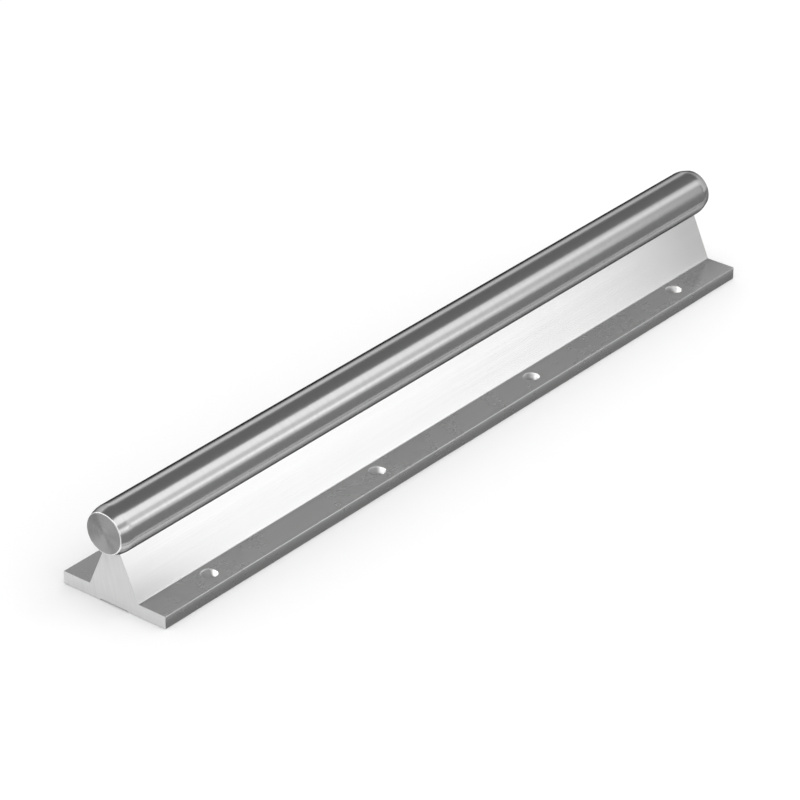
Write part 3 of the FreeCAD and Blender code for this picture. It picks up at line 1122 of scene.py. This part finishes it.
@dataclass(frozen=True)
class Card:
    """A flat card beside the object that glows though it is no lamp and is seen only in reflections: a
    painted reflection of light or shade. Lengths in metres.

    Attributes:
        name: The card's name.
        corner: Its first corner.
        along: Its first side.
        across: Its second side.
        level: How bright its painted glow is.
        one_sided: Whether it shows only to what it faces.
    """

    name: str
    corner: Point
    along: Point
    across: Point
    level: float
    one_sided: bool = False

    def build(self) -> None:
        """Makes the card and its glowing material, a painted reflection, and keeps it from all rays but
        reflected ones.
        """
        corner, along, across = map(np.array, (self.corner, self.along, self.across))
        corners = np.stack([corner, corner + along, corner + along + across, corner + across])
        mesh = bpy.data.meshes.new(self.name)
        mesh.from_pydata(corners, [], [range(4)])
        material = empty_material(self.name)
        tree = material.node_tree
        look = add_node(tree, "ShaderNodeEmission", {"Color": grey(self.level)})
        if self.one_sided:
            behind = add_node(tree, "ShaderNodeNewGeometry").outputs["Backfacing"]
            clear = add_node(tree, "ShaderNodeBsdfTransparent")
            look = add_node(tree, "ShaderNodeMixShader", {0: behind, 1: look.outputs[0],
                                                          2: clear.outputs[0]})
        add_node(tree, "ShaderNodeOutputMaterial", {"Surface": look.outputs[0]})
        mesh.materials.append(material)
        card = add_object(self.name, mesh)
        card.visible_camera = False
        card.visible_diffuse = False
        card.visible_shadow = False
        card.visible_transmission = False


@dataclass(frozen=True)
class Softbox:
    """A rectangular lamp. Lengths in metres.

    Attributes:
        name: The lamp's name.
        centre: Its middle.
        target: The point that it faces.
        width: Its size along its own X.
        height: Its size along its own Y.
        glow: Radiance of its face.
        spread: Angle over which its light fans out, in degrees.
        mirrored: Whether it shows in reflections.
    """

    name: str
    centre: Point
    target: Point
    width: float
    height: float
    glow: float
    spread: float = 180.0
    mirrored: bool = True

    def build(self) -> None:
        """Makes the lamp; its power is its radiance times pi times its area."""
        light = bpy.data.lights.new(self.name, "AREA")
        light.shape = "RECTANGLE"
        light.size = self.width
        light.size_y = self.height
        light.spread = math.radians(self.spread)
        light.energy = self.glow * math.pi * self.width * self.height
        lamp = add_object(self.name, light)
        lamp.location = self.centre
        lamp.rotation_euler = (Vector(self.target) - Vector(self.centre)).to_track_quat("-Z", "Y").to_euler()
        lamp.visible_camera = False
        lamp.visible_glossy = self.mirrored


@dataclass
class Studio:
    """A pale floor, a white surround, softboxes, glowing cards that paint reflections of light and shade in
    the metal, and the camera.
    """

    floor_half: float = 4.0
    floor_drop: float = 0.0001
    floor_tone: float = 0.96
    floor_roughness: float = 0.9
    camera_place: Point = (-1.1095, -0.8954, 0.8044)
    azimuth: float = 39.249
    elevation: float = -29.138
    lens: float = 180.881
    sensor: float = 36.0
    camera_reach: float = 100.0
    softboxes: tuple[Softbox, ...] = (
        Softbox("overhead_softbox", (0.345, -0.67, 1.0), (0.345, -0.67, 0.0), 1.39, 0.76, 0.62),
        Softbox("far_softbox", (1.27, -0.775, 1.0), (1.27, -0.775, 0.0), 0.46, 0.55, 0.45),
        Softbox("side_strip", (0.8, -1.0, 0.34), (0.8, 0.0, 0.34), 0.46, 0.24, 0.95),
        Softbox("near_strip", (0.0, -1.0, 0.34), (0.0, 0.0, 0.34), 0.6, 0.24, 0.95),
        Softbox("end_softbox", (-1.0, 0.6, 0.14), (-0.18, 0.0, 0.03), 1.0, 0.24, 1.4),
        Softbox("back_strip", (1.4, 1.25, 0.6), (1.4, 0.0, 0.6), 1.5, 0.5, 0.55),
        Softbox("hole_lamp", (-0.25, -0.0195, 0.117), (0.0, -0.0195, 0.0055), 0.005, 0.14, 3.6, 1.0, False),
    )
    # Glowing cards, no lamps, seen only in reflections: painted reflections, dark and light, in the metal
    cards: tuple[Card, ...] = (
        Card("overhead_card", (-0.7, -0.28, 1.0), (2.9, 0.0, 0.0), (0.0, 1.4, 0.0), 0.23),
        Card("front_card", (-0.6, -0.041, 0.0002), (0.9, 0.0, 0.0), (0.0, -1.4, 0.045), 0.33),
        Card("side_card", (-0.1834, -0.041, 0.0003), (0.62, 0.0, 0.0), (1.1, -1.4, 0.045), 0.33),
        Card("rim_card", (-0.26, -0.1, 0.0004), (0.07, 0.0, 0.0), (0.0, 0.075, 0.0), 0.3),
        Card("near_flag", (0.064, -0.225, 0.0003), (-0.14, 0.0, 0.0), (-0.079, 0.0, 0.0395), 0.33, True),
        Card("edge_card", (-0.1834, -0.0257, 0.0002), (0.6, 0.0, 0.0), (0.0, -0.0063, 0.0), 0.25),
        Card("back_card", (-0.1834, 0.0257, 0.0002), (0.48, 0.0, 0.0), (1.15, 1.4, 0.27), 0.08),
        Card("far_card", (1.175, -1.0, 0.0), (0.36, 0.0, 0.0), (0.45, 0.0, 0.95), 0.03),
        Card("end_card", (-0.33, 0.024, 0.012), (0.1466, 0.0, 0.0), (0.0, 1.03, 0.19), 0.25, True),
        Card("left_card", (-0.1834, 0.027, 0.0002), (0.42, 0.0, 0.0), (0.0, 0.002, 0.024), 0.43),
        # A glowing card lying on the flange: a painted reflection of light in the shaft's underside
        Card("flange_card", (-0.1834, -0.0257, 0.0057), (0.4, 0.0, 0.0), (0.0, 0.0122, 0.0), 1.15, True),
        Card("web_card", (-0.1834, 0.0165, 0.0065), (0.433, 0.0, 0.0), (0.0, 0.003, 0.0275), 0.43, True),
        Card("front_flag", (-2.2, -1.06, 1.0), (2.6, 0.0, 0.0), (0.0, -0.9, -0.5), 0.6),
    )

    def build(self) -> None:
        """Makes the floor, the surround, the lamps, the cards and the camera."""
        self.build_floor()
        self.build_surround()
        for part in (*self.softboxes, *self.cards):
            part.build()
        self.build_camera()

    def build_floor(self) -> None:
        """Lays the plain pale floor just under the rail's foot."""
        mesh = bpy.data.meshes.new("floor")
        corners = self.floor_half * np.array([(-1, -1, 0), (1, -1, 0), (1, 1, 0), (-1, 1, 0)], dtype=float)
        mesh.from_pydata(corners - (0, 0, self.floor_drop), [], [range(4)])
        material = bpy.data.materials.new("floor_paper")
        material.use_nodes = True
        shader = material.node_tree.nodes["Principled BSDF"]
        shader.inputs["Base Color"].default_value = grey(self.floor_tone)
        shader.inputs["Roughness"].default_value = self.floor_roughness
        shader.inputs["Specular IOR Level"].default_value = 0.0
        mesh.materials.append(material)
        floor = add_object("floor", mesh)

    def build_surround(self) -> None:
        """Surrounds the floor with even white light."""
        world = bpy.data.worlds.new("surround")
        world.use_nodes = True
        backdrop = world.node_tree.nodes["Background"]
        backdrop.inputs["Color"].default_value = grey(1.0)
        backdrop.inputs["Strength"].default_value = 1.0
        bpy.context.scene.world = world

    def build_camera(self) -> None:
        """Places the camera at the photograph's point of view."""
        camera = bpy.data.cameras.new("camera")
        camera.lens = self.lens
        camera.sensor_width = self.sensor
        camera.clip_end = self.camera_reach
        place = add_object("camera", camera)
        azimuth, elevation = math.radians(self.azimuth), math.radians(self.elevation)
        look = Vector((math.cos(elevation) * math.cos(azimuth), math.cos(elevation) * math.sin(azimuth),
                       math.sin(elevation)))
        place.location = self.camera_place
        place.rotation_euler = look.to_track_quat("-Z", "Y").to_euler()
        bpy.context.scene.camera = place


def node_box(node: str) -> tuple[np.ndarray, np.ndarray]:
    """The lowest and highest corner of a node of the frame, in millimetres."""
    low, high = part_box(node)
    return np.array(low) / MM, np.array(high) / MM


def flange_holes(mounts: dict[str, dict[str, Any]]) -> tuple[np.ndarray, float, float]:
    """Reads the flange holes from the record's two bolt patterns.

    Args:
        mounts: The record's mounts by name.

    Returns:
        The holes' places along the rail, the rows' distance from the middle and the holes' radius.
    """
    patterns = [mounts["mounting_holes_outer"]["dims"], mounts["mounting_holes_inner"]["dims"]]
    half = np.array([pattern["spacing_x_mm"] / 2 for pattern in patterns])
    places = np.sort(np.concatenate([-half, half]))
    return places, patterns[0]["spacing_y_mm"] / 2, patterns[0]["hole_r_mm"]


def main() -> None:
    """Builds the pieces round the frame, then the studio."""
    logging.basicConfig(level=logging.INFO, format="%(message)s")
    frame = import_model()
    mounts = {mount["name"]: mount for mount in frame["record"]["mounts"]}
    way = mounts["bearing_way"]
    radius, axis = way["dims"]["r_mm"], way["pos_m"][2] / MM
    places, row, hole_radius = flange_holes(mounts)
    rail_low, rail_high = node_box("support_rail")
    shaft_low, shaft_high = node_box("shaft")
    length, width, _ = rail_high - rail_low
    thread = Thread()

    install(SupportRail(length, width, places, row, hole_radius, axis, radius).shell(), "support_rail")
    install(ShaftBar(shaft_high[0] - shaft_low[0], radius, axis, places, thread).shell(), "shaft")
    screws = sorted(name for name in frame["nodes"] if name.startswith("shaft_screw"))
    for number, node in enumerate(screws, 1):
        low, high = node_box(node)
        middle = (low[0] + high[0]) / 2
        head_radius = (high[0] - low[0]) / 2
        screw = CapScrew(f"cap_screw_{number}", middle, low[2], high[2], head_radius, thread)
        install(screw.shell(), node)
    Studio().build()
    bpy.context.scene.view_settings.view_transform = "Standard"


if __name__ == "__main__":
    main()
